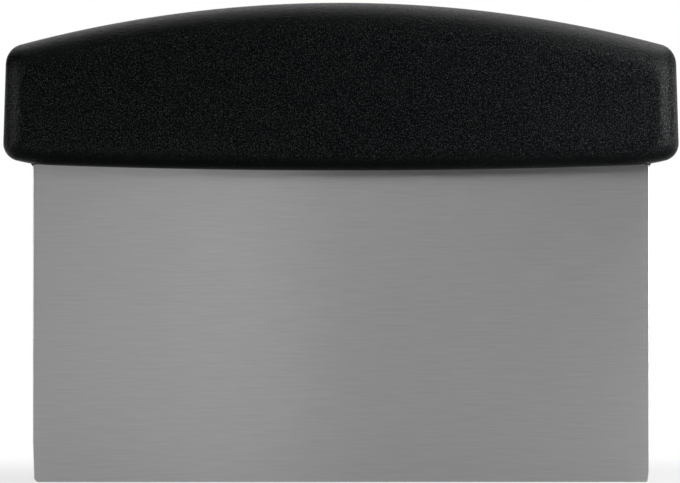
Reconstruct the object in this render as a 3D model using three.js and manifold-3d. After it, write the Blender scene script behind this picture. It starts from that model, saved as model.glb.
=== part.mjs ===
// Dough scraper: a stainless steel sheet blade whose perforated tang is moulded into a black
// polypropylene handle. Millimetres. +X runs along the cutting edge, +Y from the front face to
// the back and +Z from the edge up to the handle. The origin is the middle of the edge.
import * as THREE from "three";
import { mergeVertices, toCreasedNormals } from "three/addons/utils/BufferGeometryUtils.js";
import Module from "manifold-3d";

// Blade: one rectangle of sheet with its edges broken all round.
const bladeWidth = 152.4;
const bladeThickness = 1;
const bladeCornerRadius = 1;
const bladeEdgeBreak = 0.15;
const exposedHeight = 77; // edge to the underside of the handle, at the middle

// Handle, seen from the front: crowned top, leaning ends, and an underside with a slight belly
// that turns up at both heels.
const handleHeight = 41.5; // at the middle
const endOverhang = 7.2; // past each side of the blade
const endLean = THREE.MathUtils.degToRad(1.8); // the ends lean in towards the top
const crownRise = 11.5; // middle of the top above its ends
const bellyDrop = 1.3; // middle of the underside below the start of the heels
const heelLength = 11.4; // from the start of a heel to the end of the handle
const heelRadius = 40;
const topCornerRadius = 4.8;
const bottomCornerRadius = 4.4;

// Handle, in section: flat front and back, each rounded over to the sides.
const handleThickness = 19;
const crownLand = 3; // flat left along the top, where the two halves of the mould met
const endRoundover = 5.5;
const bottomRoundover = 4.5;

// Tang: the part of the blade inside the handle, with holes that the plastic runs through.
const tangCover = 7.3; // plastic above the corners of the tang
const tangCornerRadius = 2;
const keyCount = 5;
const keyHoleRadius = 4;
const keyMargin = 16.2; // side of the blade to the first hole's centre
const mouldGap = 0.2; // clearance that the plastic leaves as it shrinks off the steel

// Facets along each stretch of the outline and round each quarter of a round-over.
const crownSteps = 18;
const bellySteps = 9;
const heelSteps = 4;
const cornerSteps = 7;
const roundoverSteps = 8;
const holeSegments = 24;
const cornerSegments = 4;

const halfThickness = handleThickness / 2;
const halfWidth = bladeWidth / 2 + endOverhang;
const handleTop = exposedHeight + handleHeight;
const topRoundover = halfThickness - crownLand / 2;

// The front outline is a chain of circles and two straight ends. Their centres stay where they
// are as the outline is drawn in for the round-overs.
const crownRadius = radiusFromRise(halfWidth, crownRise);
const crownCentre = new THREE.Vector2(0, handleTop - crownRadius);
const heelStart = halfWidth - heelLength;
const bellyRadius = radiusFromRise(heelStart, bellyDrop);
const bellyCentre = new THREE.Vector2(0, exposedHeight + bellyRadius);
const bellyEnd = -Math.acos(heelStart / bellyRadius);
const heelCentre = pointOnCircle(bellyCentre, bellyRadius - heelRadius, bellyEnd);

const endNormal = pointOnCircle(new THREE.Vector2(), 1, endLean);
const endDirection = new THREE.Vector2(-endNormal.y, endNormal.x);
const endDistance = endLineDistance();

const tangTop = crownHeight(bladeWidth / 2) - tangCover;

const wasm = await Module();
wasm.setup();

function radiusFromRise(halfChord, rise) {
  return (halfChord ** 2 + rise ** 2) / (2 * rise);
}

function pointOnCircle(centre, radius, angle) {
  return new THREE.Vector2(Math.cos(angle), Math.sin(angle)).multiplyScalar(radius).add(centre);
}

function crownHeight(x) {
  return crownCentre.y + Math.sqrt(crownRadius ** 2 - x ** 2);
}

// Distance of the right-hand end from the origin, square to it. The lower corner touches both
// the heel and the full width of the handle, and the end is tangent to that corner.
function endLineDistance() {
  const x = halfWidth - bottomCornerRadius;
  const reach = heelRadius - bottomCornerRadius;
  const z = heelCentre.y - Math.sqrt(reach ** 2 - (x - heelCentre.x) ** 2);
  return endNormal.dot(new THREE.Vector2(x, z)) + bottomCornerRadius;
}

// Centre of a corner that is tangent to the end and to a circle: side is 1 for the upper of the
// two places and -1 for the lower one.
function cornerCentre(circleCentre, circleRadius, lineDistance, side) {
  const across = lineDistance - endNormal.dot(circleCentre);
  const along = side * Math.sqrt(circleRadius ** 2 - across ** 2);
  return circleCentre.clone().addScaledVector(endNormal, across).addScaledVector(endDirection, along);
}

function arcPoints(centre, radius, start, end, steps) {
  return new THREE.EllipseCurve(centre.x, centre.y, radius, radius, start, end).getPoints(steps);
}

// The front outline as a ring of (x, z) points, anticlockwise from the middle of the underside,
// drawn in by a distance of its own at the top, the ends and the bottom.
function handleOutline(topInset, endInset, bottomInset) {
  const endLine = endDistance - endInset;
  const heel = heelRadius - bottomInset;
  const crown = crownRadius - topInset;
  const lower = cornerCentre(heelCentre, heel - bottomCornerRadius, endLine - bottomCornerRadius, -1);
  const upper = cornerCentre(crownCentre, crown - topCornerRadius, endLine - topCornerRadius, 1);
  const lowerStart = lower.clone().sub(heelCentre).angle() - 2 * Math.PI;
  const upperEnd = upper.clone().sub(crownCentre).angle();
  const right = [
    ...arcPoints(bellyCentre, bellyRadius - bottomInset, -Math.PI / 2, bellyEnd, bellySteps),
    ...arcPoints(heelCentre, heel, bellyEnd, lowerStart, heelSteps).slice(1),
    ...arcPoints(lower, bottomCornerRadius, lowerStart, endLean, cornerSteps).slice(1),
    ...arcPoints(upper, topCornerRadius, endLean, upperEnd, cornerSteps),
    ...arcPoints(crownCentre, crown, upperEnd, Math.PI / 2, crownSteps).slice(1),
  ];
  const left = right.slice(1, -1).reverse().map((p) => new THREE.Vector2(-p.x, p.y));
  return [...right, ...left];
}

// How far a round-over draws the outline in, at a depth below the flat face.
function roundoverInset(radius, depth) {
  const limited = Math.min(radius, topRoundover);
  const left = Math.max(limited - depth, 0);
  return limited - Math.sqrt(limited ** 2 - left ** 2);
}

// Outlines from the front face to where the round-overs end, and the same again to the back.
function handleRings() {
  const front = [];
  for (let step = 0; step <= roundoverSteps; step++) {
    const angle = (step / roundoverSteps) * (Math.PI / 2);
    const depth = topRoundover * (1 - Math.cos(angle));
    const outline = handleOutline(
      roundoverInset(topRoundover, depth),
      roundoverInset(endRoundover, depth),
      roundoverInset(bottomRoundover, depth),
    );
    front.push({ y: depth - halfThickness, outline });
  }
  const back = front.map((ring) => ({ y: -ring.y, outline: ring.outline })).reverse();
  return [...front, ...back];
}

// Skin through the rings, closed by a flat face at each end.
function loft(rings) {
  const count = rings[0].outline.length;
  const positions = rings.flatMap(({ y, outline }) => outline.flatMap((p) => [p.x, y, p.y]));
  const indices = [];
  for (let ring = 0; ring < rings.length - 1; ring++) {
    for (let i = 0; i < count; i++) {
      const near = ring * count + i;
      const nearNext = ring * count + ((i + 1) % count);
      indices.push(near, near + count, nearNext + count);
      indices.push(near, nearNext + count, nearNext);
    }
  }
  const last = (rings.length - 1) * count;
  for (const [a, b, c] of THREE.ShapeUtils.triangulateShape(rings[0].outline, [])) {
    indices.push(a, b, c);
    indices.push(last + a, last + c, last + b);
  }
  const geometry = new THREE.BufferGeometry();
  geometry.setAttribute("position", new THREE.Float32BufferAttribute(positions, 3));
  geometry.setIndex(indices);
  return geometry;
}

function solidFrom(geometry) {
  const bare = new THREE.BufferGeometry();
  bare.setAttribute("position", geometry.getAttribute("position"));
  bare.setIndex(geometry.index);
  const merged = mergeVertices(bare);
  return new wasm.Manifold(
    new wasm.Mesh({
      numProp: 3,
      vertProperties: merged.getAttribute("position").array,
      triVerts: new Uint32Array(merged.index.array),
    }),
  );
}

function geometryFrom(solid) {
  const { vertProperties, triVerts } = solid.getMesh();
  const geometry = new THREE.BufferGeometry();
  geometry.setAttribute("position", new THREE.BufferAttribute(vertProperties, 3));
  geometry.setIndex(new THREE.BufferAttribute(triVerts, 1));
  return toCreasedNormals(geometry);
}

// Centres of the tang's holes, evenly spaced along X, halfway up the tang.
function keyPlaces() {
  const span = bladeWidth - 2 * keyMargin;
  const z = (exposedHeight + tangTop) / 2;
  return Array.from(
    { length: keyCount },
    (_, i) => new THREE.Vector2((i / (keyCount - 1) - 0.5) * span, z),
  );
}

// An upright plate of an outline in X and Z, with its edges broken or left square.
function plate(outline, thickness, edgeBreak, curveSegments) {
  const depth = thickness - 2 * edgeBreak;
  const geometry = new THREE.ExtrudeGeometry(outline, {
    depth,
    curveSegments,
    bevelEnabled: edgeBreak > 0,
    bevelSize: edgeBreak,
    bevelThickness: edgeBreak,
    bevelOffset: -edgeBreak,
    bevelSegments: 1,
  });
  return solidFrom(geometry.translate(0, 0, -depth / 2).rotateX(Math.PI / 2));
}

// A rectangle in X and Z with one pair of corners rounded: side is -1 for the lower pair and 1
// for the upper one.
function plateOutline(width, plainEnd, roundedEnd, radius, side) {
  const half = width / 2;
  const centre = roundedEnd - side * radius;
  const outward = (side * Math.PI) / 2;
  return new THREE.Shape()
    .moveTo(half, plainEnd)
    .lineTo(-half, plainEnd)
    .absarc(-half + radius, centre, radius, Math.PI, outward, side > 0)
    .absarc(half - radius, centre, radius, outward, 0, side > 0);
}

// The working part of the blade and the tang with its holes, as one sheet. The two lap by both
// their edge breaks, so that no groove is left across the blade.
function bladeGeometry() {
  const lap = 2 * bladeEdgeBreak;
  const working = plateOutline(bladeWidth, exposedHeight, 0, bladeCornerRadius, -1);
  const tang = plateOutline(bladeWidth, exposedHeight - lap, tangTop, tangCornerRadius, 1);
  tang.holes = keyPlaces().map((p) => new THREE.Path().absarc(p.x, p.y, keyHoleRadius, 0, 2 * Math.PI));
  const workingSheet = plate(working, bladeThickness, bladeEdgeBreak, cornerSegments);
  const tangSheet = plate(tang, bladeThickness, bladeEdgeBreak, holeSegments / 2);
  return geometryFrom(workingSheet.add(tangSheet));
}

// The space that the tang takes up inside the handle, with the keys of plastic that cross it
// through the tang's holes and join the front of the handle to the back.
function tangSpace() {
  const thickness = bladeThickness + 2 * mouldGap;
  const outline = plateOutline(
    bladeWidth + 2 * mouldGap,
    exposedHeight - mouldGap,
    tangTop + mouldGap,
    tangCornerRadius + mouldGap,
    1,
  );
  const keyRadius = keyHoleRadius - mouldGap;
  const keyLength = thickness + 2 * mouldGap;
  return keyPlaces().reduce((space, place) => {
    const key = new THREE.CylinderGeometry(keyRadius, keyRadius, keyLength, holeSegments);
    return space.subtract(solidFrom(key.translate(place.x, 0, place.y)));
  }, plate(outline, thickness, 0, cornerSegments));
}

function handleGeometry() {
  return geometryFrom(solidFrom(loft(handleRings())).subtract(tangSpace()));
}

const steel = new THREE.MeshStandardMaterial({ color: 0x93918f, roughness: 0.38, metalness: 1 });
const blackPlastic = new THREE.MeshStandardMaterial({ color: 0x0e0f10, roughness: 0.55, metalness: 0 });

const blade = new THREE.Mesh(bladeGeometry(), steel);
blade.name = "blade";

const handle = new THREE.Mesh(handleGeometry(), blackPlastic);
handle.name = "handle";

const scraper = new THREE.Group();
scraper.name = "dough_scraper";
scraper.add(blade, handle);

export default scraper;
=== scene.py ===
"""Dough scraper: a steel sheet blade moulded into a black polypropylene handle.

Metres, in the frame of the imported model: +X along the cutting edge, -Y towards the front, +Z up.
"""
import math

import bmesh
import bpy
from mathutils import Matrix, Vector


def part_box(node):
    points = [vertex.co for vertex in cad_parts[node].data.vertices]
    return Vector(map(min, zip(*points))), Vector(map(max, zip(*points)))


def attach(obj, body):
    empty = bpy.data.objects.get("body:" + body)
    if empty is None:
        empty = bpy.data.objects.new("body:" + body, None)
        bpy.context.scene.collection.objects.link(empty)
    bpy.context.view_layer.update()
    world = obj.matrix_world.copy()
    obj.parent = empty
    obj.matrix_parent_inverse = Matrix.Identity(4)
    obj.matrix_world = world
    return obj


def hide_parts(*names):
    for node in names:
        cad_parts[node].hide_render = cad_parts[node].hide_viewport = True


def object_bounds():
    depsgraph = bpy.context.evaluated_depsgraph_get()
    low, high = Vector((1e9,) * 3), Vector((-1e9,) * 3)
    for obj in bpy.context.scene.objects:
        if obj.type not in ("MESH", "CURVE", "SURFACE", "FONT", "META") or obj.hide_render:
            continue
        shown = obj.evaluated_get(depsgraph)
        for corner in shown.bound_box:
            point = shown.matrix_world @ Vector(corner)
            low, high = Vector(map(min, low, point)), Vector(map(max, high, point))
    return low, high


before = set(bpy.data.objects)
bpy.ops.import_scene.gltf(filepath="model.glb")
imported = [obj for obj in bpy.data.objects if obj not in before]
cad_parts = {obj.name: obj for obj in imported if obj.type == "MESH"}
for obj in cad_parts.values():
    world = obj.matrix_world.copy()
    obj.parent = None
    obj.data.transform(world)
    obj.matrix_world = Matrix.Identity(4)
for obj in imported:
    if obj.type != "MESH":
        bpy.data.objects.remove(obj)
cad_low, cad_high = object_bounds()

# Blade: one rectangle of 1 mm stainless sheet, brushed along its length. The lower part works the
# dough. The upper part is a tang with five punched holes, which the handle is moulded through.
# Its edges are broken all round, and the lower corners are eased by hand on a belt.
MM = 0.001
_, blade_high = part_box("blade")
blade_half = blade_high.x
sheet_half = blade_high.y
tang_top = blade_high.z
exposed_height = 77 * MM
left_ease_height = 10 * MM
left_ease_depth = 0.33 * MM
left_corner_radius = 1.1 * MM
right_ease_height = 2.7 * MM
right_ease_depth = 0.35 * MM
right_corner_radius = 0.4 * MM
tang_corner_radius = 2 * MM
corner_segments = 6
key_count = 5
key_margin = 16.2 * MM
key_radius = 4 * MM
key_segments = 32
edge_break = 0.15 * MM
edge_break_segments = 2
rim_angle = math.radians(60)
side_facing = 0.75
dark_steel = (0.365, 0.358, 0.362)
light_steel = (0.455, 0.448, 0.452)
smooth_roughness = 0.29
dull_roughness = 0.39
brush_anisotropy = 0.9
fine_pitch = 0.12 * MM
fine_length = 6 * MM
broad_pitch = 0.3 * MM
broad_length = 9 * MM
streak_depth = 3 * MM
scratch_depth = 0.003 * MM


def new_piece(name, bm, material):
    """An object at the origin with one material, made from a bmesh that is used up."""
    mesh = bpy.data.meshes.new(name)
    bm.to_mesh(mesh)
    bm.free()
    mesh.materials.append(material)
    piece = bpy.data.objects.new(name, mesh)
    bpy.context.scene.collection.objects.link(piece)
    return piece


def new_material(name):
    """A material with no nodes yet, and its node tree."""
    material = bpy.data.materials.new(name)
    material.use_nodes = True
    material.node_tree.nodes.clear()
    return material, material.node_tree


def add_node(tree, kind, place, **settings):
    """A shader node at a place in its editor. Settings name its properties, or else its inputs."""
    node = tree.nodes.new(kind)
    node.location = place
    for name, value in settings.items():
        if hasattr(node, name):
            setattr(node, name, value)
        else:
            node.inputs[name.replace("_", " ")].default_value = value
    return node


blade_material, tree = new_material("brushed_steel")
output = add_node(tree, "ShaderNodeOutputMaterial", (900, 0))
steel = add_node(tree, "ShaderNodeBsdfPrincipled", (600, 0), Metallic=1.0, Anisotropic=brush_anisotropy)
tree.links.new(steel.outputs["BSDF"], output.inputs["Surface"])
coordinates = add_node(tree, "ShaderNodeTexCoord", (-1200, 0))
fine_brush = add_node(tree, "ShaderNodeMapping", (-900, -200))
fine_brush.inputs["Scale"].default_value = (1 / fine_length, 1 / streak_depth, 1 / fine_pitch)
fine_streaks = add_node(tree, "ShaderNodeTexNoise", (-600, -200), Scale=1.0, Detail=2.0)
broad_brush = add_node(tree, "ShaderNodeMapping", (-900, 200))
broad_brush.inputs["Scale"].default_value = (1 / broad_length, 1 / streak_depth, 1 / broad_pitch)
broad_streaks = add_node(tree, "ShaderNodeTexNoise", (-600, 200), Scale=1.0, Detail=3.0)
for brush, streaks in ((fine_brush, fine_streaks), (broad_brush, broad_streaks)):
    tree.links.new(coordinates.outputs["Object"], brush.inputs["Vector"])
    tree.links.new(brush.outputs["Vector"], streaks.inputs["Vector"])
tone = add_node(tree, "ShaderNodeMix", (0, 300), data_type="RGBA")
tone.inputs["A"].default_value = (*dark_steel, 1)
tone.inputs["B"].default_value = (*light_steel, 1)
tree.links.new(broad_streaks.outputs["Fac"], tone.inputs["Factor"])
tree.links.new(tone.outputs["Result"], steel.inputs["Base Color"])
satin = add_node(tree, "ShaderNodeMapRange", (0, 0), To_Min=smooth_roughness, To_Max=dull_roughness)
tree.links.new(fine_streaks.outputs["Fac"], satin.inputs["Value"])
tree.links.new(satin.outputs["Result"], steel.inputs["Roughness"])
scratches = add_node(tree, "ShaderNodeBump", (0, -300), Strength=1.0, Distance=scratch_depth)
tree.links.new(fine_streaks.outputs["Fac"], scratches.inputs["Height"])
tree.links.new(scratches.outputs["Normal"], steel.inputs["Normal"])
across_brush = add_node(tree, "ShaderNodeTangent", (300, -400), direction_type="UV_MAP", uv_map="brush")
tree.links.new(across_brush.outputs["Tangent"], steel.inputs["Tangent"])

bm = bmesh.new()
right_side = [(blade_half - right_ease_depth, 0), (blade_half, right_ease_height), (blade_half, tang_top)]
left_side = [(-blade_half, tang_top), (-blade_half, left_ease_height), (left_ease_depth - blade_half, 0)]
sheet = bm.faces.new([bm.verts.new((x, -sheet_half, z)) for x, z in right_side + left_side])
lower_right, _, upper_right, upper_left, _, lower_left = sheet.verts
corner_radii = (
    (lower_right, right_corner_radius),
    (lower_left, left_corner_radius),
    (upper_right, tang_corner_radius),
    (upper_left, tang_corner_radius),
)
for corner, radius in corner_radii:
    bmesh.ops.bevel(
        bm,
        geom=[corner],
        offset=radius,
        segments=corner_segments,
        profile=0.5,
        affect="VERTICES",
        material=-1,
    )
bmesh.ops.delete(bm, geom=bm.faces[:], context="FACES_ONLY")
key_row_half = blade_half - key_margin
key_spacing = 2 * key_row_half / (key_count - 1)
key_height = (exposed_height + tang_top) / 2
key_centres = [Vector((i * key_spacing - key_row_half, 0, key_height)) for i in range(key_count)]
front_of_sheet = Vector((0, -sheet_half, 0))
through_sheet = Matrix.Rotation(math.pi / 2, 4, "X")
for centre in key_centres:
    bmesh.ops.create_circle(
        bm,
        segments=key_segments,
        radius=key_radius,
        matrix=Matrix.Translation(centre + front_of_sheet) @ through_sheet,
    )
bmesh.ops.triangle_fill(bm, use_beauty=True, edges=bm.edges[:])
grown = bmesh.ops.extrude_face_region(bm, geom=bm.faces[:])
back_face = [v for v in grown["geom"] if isinstance(v, bmesh.types.BMVert)]
bmesh.ops.translate(bm, verts=back_face, vec=(0, 2 * sheet_half, 0))
bmesh.ops.recalc_face_normals(bm, faces=bm.faces[:])
rim = [e for e in bm.edges if e.calc_face_angle(0) > rim_angle]
bmesh.ops.bevel(
    bm,
    geom=rim,
    offset=edge_break,
    segments=edge_break_segments,
    profile=0.5,
    affect="EDGES",
    material=-1,
    loop_slide=False,
)

# U of this map grows up the sheet, across the brushing, and the shader takes its tangent from U.
brush_map = bm.loops.layers.uv.new("brush")
for face in bm.faces:
    faces_sideways = abs(face.normal.x) > side_facing
    for loop in face.loops:
        x, y, z = loop.vert.co
        loop[brush_map].uv = (y + z, y if faces_sideways else x)
blade = new_piece("blade_sheet", bm, blade_material)
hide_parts("blade")
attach(blade, "root")

# Handle: one solid moulding of black polypropylene, formed round the tang and through its holes.
# The front and back are flat, and each is rounded over to a crowned top, to ends that lean in and
# to an underside with a slight belly. The two halves of the mould met along the middle.
handle_low, handle_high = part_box("handle")
handle_half = handle_high.x
half_thickness = handle_high.y
end_lean = math.radians(1.8)
crown_rise = 11.5 * MM
belly_drop = 1.3 * MM
heel_length = 11.4 * MM
heel_radius = 40 * MM
top_corner_radius = 4.8 * MM
bottom_corner_radius = 4.4 * MM
crown_land = 3 * MM
top_roundover = half_thickness - crown_land / 2
end_roundover = 5.5 * MM
bottom_roundover = 4.5 * MM
roundovers = (top_roundover, end_roundover, bottom_roundover)
face_margin = 0.6 * MM
parting_half_width = 0.12 * MM
parting_depth = 0.05 * MM
roundover_steps = 18
belly_steps = 24
heel_steps = 8
corner_steps = 14
end_steps = 10
crown_steps = 36
weld_distance = 0.001 * MM


def radius_from_rise(half_chord, rise):
    """Radius of the arc that rises this far over a chord."""
    return (half_chord ** 2 + rise ** 2) / (2 * rise)


def on_circle(centre, radius, angle):
    """Point in X and Z on a circle, at an angle from +X towards +Z."""
    return centre + radius * Vector((math.cos(angle), math.sin(angle)))


crown_radius = radius_from_rise(handle_half, crown_rise)
crown_centre = Vector((0, handle_high.z - crown_radius))
heel_start = handle_half - heel_length
belly_radius = radius_from_rise(heel_start, belly_drop)
belly_centre = Vector((0, handle_low.z + belly_radius))
belly_end = -math.acos(heel_start / belly_radius)
heel_centre = on_circle(belly_centre, belly_radius - heel_radius, belly_end)
end_normal = on_circle(Vector((0, 0)), 1, end_lean)
end_along = Vector((-end_normal.y, end_normal.x))
lowest_corner_x = handle_half - bottom_corner_radius
corner_reach = heel_radius - bottom_corner_radius
lowest_corner_z = heel_centre.y - math.sqrt(corner_reach ** 2 - (lowest_corner_x - heel_centre.x) ** 2)
end_distance = end_normal.dot(Vector((lowest_corner_x, lowest_corner_z))) + bottom_corner_radius


def corner_centre(circle_centre, circle_radius, line_distance, side):
    """Centre of a corner that is tangent to the handle's end and to a circle.

    The circle and the end's line are already moved in by the corner's radius. Side is 1 for the
    upper corner and -1 for the lower one.
    """
    across = line_distance - end_normal.dot(circle_centre)
    along = side * math.sqrt(circle_radius ** 2 - across ** 2)
    return circle_centre + across * end_normal + along * end_along


def sweep(bm, vert, centre, angle, steps):
    """Draws an arc in X and Z from a vertex, and gives the vertex at its end."""
    swept = bmesh.ops.spin(
        bm,
        geom=[vert],
        cent=(centre.x, vert.co.y, centre.y),
        axis=(0, 1, 0),
        angle=-angle,
        steps=steps,
    )
    return next(v for v in swept["geom_last"] if isinstance(v, bmesh.types.BMVert))


def half_outline(bm, y, top_inset, end_inset, bottom_inset):
    """Draws the right half of the handle's outline at one depth, and gives its edges.

    It runs from the middle of the underside to the middle of the crown.
    """
    known = set(bm.edges)
    end_line = end_distance - end_inset
    heel = heel_radius - bottom_inset
    crown = crown_radius - top_inset
    lower = corner_centre(heel_centre, heel - bottom_corner_radius, end_line - bottom_corner_radius, -1)
    upper = corner_centre(crown_centre, crown - top_corner_radius, end_line - top_corner_radius, 1)
    lower_start = math.atan2(*reversed(lower - heel_centre))
    upper_end = math.atan2(*reversed(upper - crown_centre))
    vert = bm.verts.new((0, y, handle_low.z + bottom_inset))
    vert = sweep(bm, vert, belly_centre, belly_end + math.pi / 2, belly_steps)
    vert = sweep(bm, vert, heel_centre, lower_start - belly_end, heel_steps)
    vert = sweep(bm, vert, lower, end_lean - lower_start, corner_steps)
    top_of_end = on_circle(upper, top_corner_radius, end_lean)
    end_step = (Vector((top_of_end.x, y, top_of_end.y)) - vert.co) / end_steps
    for _ in range(end_steps):
        longer = bmesh.ops.extrude_vert_indiv(bm, verts=[vert])
        vert = longer["verts"][0]
        bmesh.ops.translate(bm, verts=[vert], vec=end_step)
    vert = sweep(bm, vert, upper, upper_end - end_lean, corner_steps)
    vert = sweep(bm, vert, crown_centre, math.pi / 2 - upper_end, crown_steps)
    vert.co.x = 0
    return [e for e in bm.edges if e not in known]


def roundover_inset(radius, depth):
    """How far inside the outline a round-over lies, at a depth behind the face."""
    left = max(radius - depth, 0)
    return radius - math.sqrt(radius ** 2 - left ** 2)


front_rings = [(-half_thickness, [radius + face_margin for radius in roundovers])]
for step in range(roundover_steps + 1):
    depth = top_roundover * (1 - math.cos(step / roundover_steps * math.pi / 2))
    insets = [roundover_inset(radius, depth) for radius in roundovers]
    front_rings.append((depth - half_thickness, insets))
front_rings.append((-sheet_half, [0, 0, 0]))
front_rings.append((-parting_half_width, [0, 0, 0]))
parting_ring = (0, [parting_depth] * 3)
rings = front_rings + [parting_ring] + [(-y, insets) for y, insets in reversed(front_rings)]

bm = bmesh.new()
chains = [half_outline(bm, y, *insets) for y, insets in rings]
for near, far in zip(chains, chains[1:]):
    bmesh.ops.bridge_loops(bm, edges=near + far)
for chain in (chains[0], chains[-1]):
    ends = [v for e in chain for v in e.verts if v.co.x == 0]
    seam = bm.edges.new(ends)
    bmesh.ops.contextual_create(bm, geom=chain + [seam])
whole_half = bm.verts[:] + bm.edges[:] + bm.faces[:]
bmesh.ops.mirror(bm, geom=whole_half, axis="X", merge_dist=weld_distance)
bmesh.ops.remove_doubles(bm, verts=bm.verts[:], dist=weld_distance)
bmesh.ops.recalc_face_normals(bm, faces=bm.faces[:])

# Slot: the space in the handle that the tang fills.
for side in (-1, 1):
    bmesh.ops.bisect_plane(
        bm,
        geom=bm.verts[:] + bm.edges[:] + bm.faces[:],
        dist=weld_distance,
        plane_co=(side * blade_half, 0, 0),
        plane_no=(1, 0, 0),
    )
mouth = []
for face in bm.faces:
    spot = face.calc_center_median()
    if abs(spot.x) < blade_half and abs(spot.y) < sheet_half and spot.z < tang_top:
        mouth.append(face)
pocket = bmesh.ops.extrude_face_region(bm, geom=mouth)
bmesh.ops.delete(bm, geom=mouth, context="FACES")
roof = [v for v in pocket["geom"] if isinstance(v, bmesh.types.BMVert)]
for vert in roof:
    vert.co.z = tang_top

# Keys: the plastic that ran through the tang's holes and joins the handle's front to its back.
key_root = 0.4 * MM
for centre in key_centres:
    bmesh.ops.create_cone(
        bm,
        cap_ends=True,
        segments=key_segments,
        radius1=key_radius,
        radius2=key_radius,
        depth=2 * (sheet_half + key_root),
        matrix=Matrix.Translation(centre) @ through_sheet,
    )

# Flash: a wedge of plastic that the mould let out at each side of the blade, just under the handle.
# Beside each, a thin black film of the handle's plastic lies on the front of the blade.
flash_width = 0.55 * MM
flash_drop = 0.7 * MM
flash_thickness = 1.1 * MM
flash_root = 0.4 * MM
film_length = 1.3 * MM
film_drop = 0.28 * MM
film_thickness = 0.07 * MM


def underside_height(x):
    """Height of the handle's underside beside the blade, where it curves up in a heel."""
    return heel_centre.y - math.sqrt(heel_radius ** 2 - (x - heel_centre.x) ** 2)


def add_sliver(bm, outline, near, far):
    """A closed prism from an outline in X and Z, between two depths. Gives its faces."""
    face = bm.faces.new([bm.verts.new((x, near, z)) for x, z in outline])
    grown = bmesh.ops.extrude_face_region(bm, geom=[face])
    moved = [v for v in grown["geom"] if isinstance(v, bmesh.types.BMVert)]
    bmesh.ops.translate(bm, verts=moved, vec=(0, far - near, 0))
    return [face] + [g for v in moved for g in v.link_faces]


blade_side_z = underside_height(blade_half)
slivers = []
for side in (-1, 1):
    wedge = [
        (side * blade_half, blade_side_z - flash_drop),
        (side * (blade_half + flash_width), underside_height(blade_half + flash_width)),
        (side * (blade_half + flash_width), blade_side_z + flash_root),
        (side * blade_half, blade_side_z + flash_root),
    ]
    film = [
        (side * blade_half, blade_side_z - film_drop),
        (side * blade_half, blade_side_z + flash_root),
        (side * (blade_half - film_length), blade_side_z + flash_root),
        (side * (blade_half - film_length), underside_height(blade_half - film_length)),
    ]
    slivers += add_sliver(bm, wedge, -flash_thickness / 2, flash_thickness / 2)
    slivers += add_sliver(bm, film, -sheet_half - film_thickness, -sheet_half)
bmesh.ops.recalc_face_normals(bm, faces=list(set(slivers)))
for face in bm.faces:
    face.smooth = True
for face in slivers:
    face.smooth = False

# Finish: a moulded grain whose peaks are painted pale on the black, a painted glint for the light the
# grain catches, and a coarser relief that breaks up highlights. Both fade out beside the parting line. The
# grain's painted glints and rougher peaks are fainter where the surface faces up or down, and the relief
# is shallower on the flat faces.
black_plastic = (0.001, 0.0013, 0.0015)
# The grain's peaks are painted this pale colour, a painted glint for the light they catch.
painted_peak_glint = (0.044, 0.0468, 0.0462)
grain_pitch = 0.22 * MM
peak_foot = 0.54
peak_top = 0.8
upright_facing = 0.08
level_facing = 0.6
level_grain = 0.2
parting_land = 0.25 * MM
parting_fade = 0.7 * MM
relief_pitch = 0.36 * MM
relief_height = 0.15 * MM
rounded_facing = 0.97
flat_relief = 0.2
plastic_specular = 0.042
plastic_roughness = 0.25
peak_roughness = 0.1
parting_roughness = 0.56

handle_material, tree = new_material("black_polypropylene")
output = add_node(tree, "ShaderNodeOutputMaterial", (900, 0))
plastic = add_node(tree, "ShaderNodeBsdfPrincipled", (600, 0), Specular_IOR_Level=plastic_specular)
tree.links.new(plastic.outputs["BSDF"], output.inputs["Surface"])
coordinates = add_node(tree, "ShaderNodeTexCoord", (-1500, 0))
grain = add_node(tree, "ShaderNodeTexNoise", (-1200, 300), Scale=1 / grain_pitch, Detail=1.0)
tree.links.new(coordinates.outputs["Object"], grain.inputs["Vector"])
peaks = add_node(tree, "ShaderNodeMapRange", (-900, 400), From_Min=peak_foot, From_Max=peak_top)
peaks.interpolation_type = "SMOOTHSTEP"
tree.links.new(grain.outputs["Fac"], peaks.inputs["Value"])
facing = add_node(tree, "ShaderNodeSeparateXYZ", (-1200, -100))
tree.links.new(coordinates.outputs["Normal"], facing.inputs["Vector"])
levelness = add_node(tree, "ShaderNodeMath", (-900, -100), operation="ABSOLUTE")
tree.links.new(facing.outputs["Z"], levelness.inputs[0])
# Less of the painted glints is left where the surface faces up or down.
grain_share = add_node(tree, "ShaderNodeMapRange", (-600, -100), To_Min=1.0, To_Max=level_grain)
grain_share.inputs["From Min"].default_value = upright_facing
grain_share.inputs["From Max"].default_value = level_facing
tree.links.new(levelness.outputs[0], grain_share.inputs["Value"])
position = add_node(tree, "ShaderNodeSeparateXYZ", (-1200, -400))
tree.links.new(coordinates.outputs["Object"], position.inputs["Vector"])
from_parting = add_node(tree, "ShaderNodeMath", (-900, -400), operation="ABSOLUTE")
tree.links.new(position.outputs["Y"], from_parting.inputs[0])
etched = add_node(tree, "ShaderNodeMapRange", (-600, -400), From_Min=parting_land, From_Max=parting_fade)
tree.links.new(from_parting.outputs[0], etched.inputs["Value"])
etched_grain = add_node(tree, "ShaderNodeMath", (-300, -200), operation="MULTIPLY")
tree.links.new(grain_share.outputs["Result"], etched_grain.inputs[0])
tree.links.new(etched.outputs["Result"], etched_grain.inputs[1])
peak_share = add_node(tree, "ShaderNodeMath", (-100, 300), operation="MULTIPLY")
tree.links.new(peaks.outputs["Result"], peak_share.inputs[0])
tree.links.new(etched_grain.outputs[0], peak_share.inputs[1])
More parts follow.
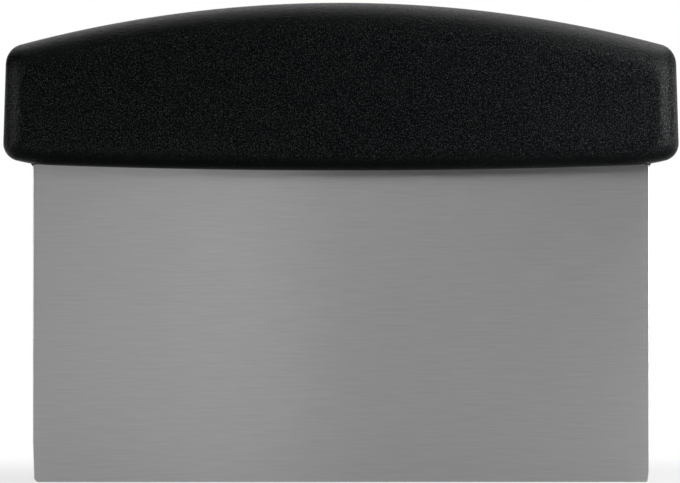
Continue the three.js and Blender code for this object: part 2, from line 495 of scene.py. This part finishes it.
# The tone paints the grain's peaks pale: painted glints on the black plastic.
tone = add_node(tree, "ShaderNodeMix", (200, 300), data_type="RGBA")
tone.inputs["A"].default_value = (*black_plastic, 1)
tone.inputs["B"].default_value = (*painted_peak_glint, 1)
tree.links.new(peak_share.outputs[0], tone.inputs["Factor"])
tree.links.new(tone.outputs["Result"], plastic.inputs["Base Color"])
sheen = add_node(tree, "ShaderNodeMapRange", (200, 0), To_Min=parting_roughness, To_Max=plastic_roughness)
tree.links.new(etched.outputs["Result"], sheen.inputs["Value"])
roughness = add_node(tree, "ShaderNodeMath", (400, 0), operation="MULTIPLY_ADD")
roughness.inputs[1].default_value = peak_roughness
tree.links.new(peak_share.outputs[0], roughness.inputs[0])
tree.links.new(sheen.outputs["Result"], roughness.inputs[2])
tree.links.new(roughness.outputs[0], plastic.inputs["Roughness"])
relief = add_node(tree, "ShaderNodeTexNoise", (-1200, -700), Scale=1 / relief_pitch, Detail=0.0)
tree.links.new(coordinates.outputs["Object"], relief.inputs["Vector"])
flatness = add_node(tree, "ShaderNodeMath", (-900, -900), operation="ABSOLUTE")
tree.links.new(facing.outputs["Y"], flatness.inputs[0])
relief_share = add_node(tree, "ShaderNodeMapRange", (-600, -900), To_Min=1.0, To_Max=flat_relief)
relief_share.inputs["From Min"].default_value = rounded_facing
tree.links.new(flatness.outputs[0], relief_share.inputs["Value"])
etched_relief = add_node(tree, "ShaderNodeMath", (-300, -600), operation="MULTIPLY")
tree.links.new(etched.outputs["Result"], etched_relief.inputs[0])
tree.links.new(relief_share.outputs["Result"], etched_relief.inputs[1])
surface_height = add_node(tree, "ShaderNodeMath", (-100, -300), operation="MULTIPLY")
tree.links.new(relief.outputs["Fac"], surface_height.inputs[0])
tree.links.new(etched_relief.outputs[0], surface_height.inputs[1])
bump = add_node(tree, "ShaderNodeBump", (200, -300), Strength=1.0, Distance=relief_height)
tree.links.new(surface_height.outputs[0], bump.inputs["Height"])
tree.links.new(bump.outputs["Normal"], plastic.inputs["Normal"])

handle = new_piece("handle_moulding", bm, handle_material)
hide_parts("handle")
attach(handle, "root")

# Studio: a plain pale floor, a white backdrop that lights nothing but shows to the camera and in
# reflections of what is behind the scraper, and soft boxes. Nothing here is part of the scraper.
floor_half = 4.0
floor_gap = 0.02 * MM
floor_grey = 0.25
behind_start = -10 * MM
behind_end = 30 * MM
shadow_radius = 60 * MM
white_radius = 250 * MM
white_in_shadow = 0.7


def shown_share(tree, behind, place):
    """Socket that is 1 for the camera's rays, the given share for mirrored rays, and 0 for others."""
    across, up = place
    rays = add_node(tree, "ShaderNodeLightPath", (across, up))
    mirrored = add_node(tree, "ShaderNodeMath", (across + 200, up), operation="MAXIMUM")
    mirrored_behind = add_node(tree, "ShaderNodeMath", (across + 400, up), operation="MULTIPLY")
    shown = add_node(tree, "ShaderNodeMath", (across + 600, up), operation="MAXIMUM")
    tree.links.new(rays.outputs["Is Glossy Ray"], mirrored.inputs[0])
    tree.links.new(rays.outputs["Is Transmission Ray"], mirrored.inputs[1])
    tree.links.new(mirrored.outputs[0], mirrored_behind.inputs[0])
    tree.links.new(behind, mirrored_behind.inputs[1])
    tree.links.new(rays.outputs["Is Camera Ray"], shown.inputs[0])
    tree.links.new(mirrored_behind.outputs[0], shown.inputs[1])
    return shown.outputs[0]


floor_material, tree = new_material("pale_floor")
output = add_node(tree, "ShaderNodeOutputMaterial", (600, 0))
mixed = add_node(tree, "ShaderNodeMixShader", (300, 0))
paint = add_node(tree, "ShaderNodeBsdfDiffuse", (0, 0), Color=(floor_grey, floor_grey, floor_grey, 1))
white = add_node(tree, "ShaderNodeEmission", (0, -200), Strength=1.0)
coordinates = add_node(tree, "ShaderNodeTexCoord", (-1200, 0))
position = add_node(tree, "ShaderNodeSeparateXYZ", (-900, 0))
behind = add_node(tree, "ShaderNodeMapRange", (-600, 0), From_Min=behind_start, From_Max=behind_end)
behind.interpolation_type = "SMOOTHSTEP"
# Near the scraper the white is thinner, so that its shadow shows on the paint.
distance = add_node(tree, "ShaderNodeVectorMath", (-900, -300), operation="LENGTH")
away = add_node(tree, "ShaderNodeMapRange", (-600, -300), From_Min=shadow_radius, From_Max=white_radius)
away.interpolation_type = "SMOOTHSTEP"
away.inputs["To Min"].default_value = white_in_shadow
white_share = add_node(tree, "ShaderNodeMath", (0, 300), operation="MULTIPLY")
tree.links.new(coordinates.outputs["Object"], position.inputs["Vector"])
tree.links.new(coordinates.outputs["Object"], distance.inputs[0])
tree.links.new(position.outputs["Y"], behind.inputs["Value"])
tree.links.new(distance.outputs["Value"], away.inputs["Value"])
tree.links.new(shown_share(tree, behind.outputs["Result"], (-800, 300)), white_share.inputs[0])
tree.links.new(away.outputs["Result"], white_share.inputs[1])
tree.links.new(white_share.outputs[0], mixed.inputs["Fac"])
tree.links.new(paint.outputs["BSDF"], mixed.inputs[1])
tree.links.new(white.outputs["Emission"], mixed.inputs[2])
tree.links.new(mixed.outputs["Shader"], output.inputs["Surface"])

bm = bmesh.new()
bmesh.ops.create_grid(bm, x_segments=1, y_segments=1, size=floor_half)
floor = new_piece("floor", bm, floor_material)
floor.location.z = -floor_gap

ambient_strength = 0.05
backdrop_start = 0.8
backdrop_end = 0.96
world = bpy.data.worlds.new("studio")
bpy.context.scene.world = world
world.use_nodes = True
tree = world.node_tree
tree.nodes.clear()
output = add_node(tree, "ShaderNodeOutputWorld", (900, 0))
mixed = add_node(tree, "ShaderNodeMixShader", (600, 0))
ambient = add_node(tree, "ShaderNodeBackground", (300, 0), Color=(1, 1, 1, 1), Strength=ambient_strength)
backdrop = add_node(tree, "ShaderNodeBackground", (300, -200), Color=(1, 1, 1, 1), Strength=1.0)
direction = add_node(tree, "ShaderNodeTexCoord", (-900, 0))
heading = add_node(tree, "ShaderNodeSeparateXYZ", (-700, 0))
behind = add_node(tree, "ShaderNodeMapRange", (-500, 0), From_Min=backdrop_start, From_Max=backdrop_end)
behind.interpolation_type = "SMOOTHSTEP"
tree.links.new(direction.outputs["Generated"], heading.inputs["Vector"])
tree.links.new(heading.outputs["Y"], behind.inputs["Value"])
tree.links.new(shown_share(tree, behind.outputs["Result"], (-500, 300)), mixed.inputs["Fac"])
tree.links.new(ambient.outputs["Background"], mixed.inputs[1])
tree.links.new(backdrop.outputs["Background"], mixed.inputs[2])
tree.links.new(mixed.outputs["Shader"], output.inputs["Surface"])

scraper_middle = (cad_low + cad_high) / 2


def soft_box(name, azimuth, elevation, distance, width, height, power):
    """A rectangular lamp aimed at the middle of the scraper.

    Azimuth 0 is straight in front, and 90 is on the right.
    """
    turn = math.radians(azimuth)
    rise = math.radians(elevation)
    towards = Vector((math.sin(turn) * math.cos(rise), -math.cos(turn) * math.cos(rise), math.sin(rise)))
    lamp = bpy.data.lights.new(name, "AREA")
    lamp.shape = "RECTANGLE"
    lamp.size = width
    lamp.size_y = height
    lamp.energy = power
    light = bpy.data.objects.new(name, lamp)
    light.location = scraper_middle + distance * towards
    light.rotation_mode = "QUATERNION"
    light.rotation_quaternion = towards.to_track_quat("Z", "Y")
    light.visible_camera = False
    bpy.context.scene.collection.objects.link(light)


# The first four light the blade. The two low ones reach it under the handle's overhang.
soft_box("front_box", azimuth=2.2, elevation=29, distance=1.0, width=0.16, height=0.33, power=0.31)
soft_box("middle_box", azimuth=1.6, elevation=18, distance=1.0, width=0.11, height=0.17, power=0.24)
soft_box("low_left_box", azimuth=-15.5, elevation=-2.5, distance=0.3, width=0.14, height=0.02, power=0.053)
soft_box("low_right_box", azimuth=18, elevation=-1, distance=0.3, width=0.03, height=0.02, power=0.002)
# These give the handle's ends and its crown their highlights.
soft_box("near_left_box", azimuth=-70, elevation=10, distance=0.22, width=0.08, height=0.1, power=0.18)
soft_box("near_right_box", azimuth=59, elevation=18, distance=0.19, width=0.11, height=0.12, power=0.61)
soft_box("right_box", azimuth=116, elevation=12, distance=0.45, width=0.25, height=0.3, power=0.45)
soft_box("top_right_box", azimuth=90, elevation=60, distance=0.32, width=0.34, height=0.16, power=0.97)
soft_box("top_box", azimuth=180, elevation=80, distance=0.32, width=0.3, height=0.18, power=0.72)
soft_box("back_box", azimuth=180, elevation=48, distance=0.36, width=0.5, height=0.12, power=0.55)
# Two large ones fill in the rest.
soft_box("left_fill", azimuth=-45, elevation=40, distance=1.1, width=1.0, height=0.8, power=1.5)
soft_box("right_fill", azimuth=45, elevation=40, distance=1.1, width=1.0, height=0.8, power=2.0)

# Camera: straight in front of the scraper, level, through a long lens. The photograph's frame is 680
# by 483 pixels, and the blade's width takes up 615.95 of them.
frame_width_px = 680
frame_height_px = 483
blade_width_px = 615.95
blade_middle_px = 340.97
edge_px = 481.8
metres_per_px = 2 * blade_half / blade_width_px
lens = 400
sensor = 36
view_reach = 20
camera_data = bpy.data.cameras.new("photo_camera")
camera_data.sensor_width = sensor
camera_data.lens = lens
camera_data.clip_end = view_reach
camera = bpy.data.objects.new("photo_camera", camera_data)
camera.location = (
    (frame_width_px / 2 - blade_middle_px) * metres_per_px,
    -frame_width_px * metres_per_px * lens / sensor,
    (edge_px - frame_height_px / 2) * metres_per_px,
)
camera.rotation_euler = (math.pi / 2, 0, 0)
bpy.context.scene.collection.objects.link(camera)
bpy.context.scene.camera = camera
bpy.context.scene.view_settings.view_transform = "Standard"
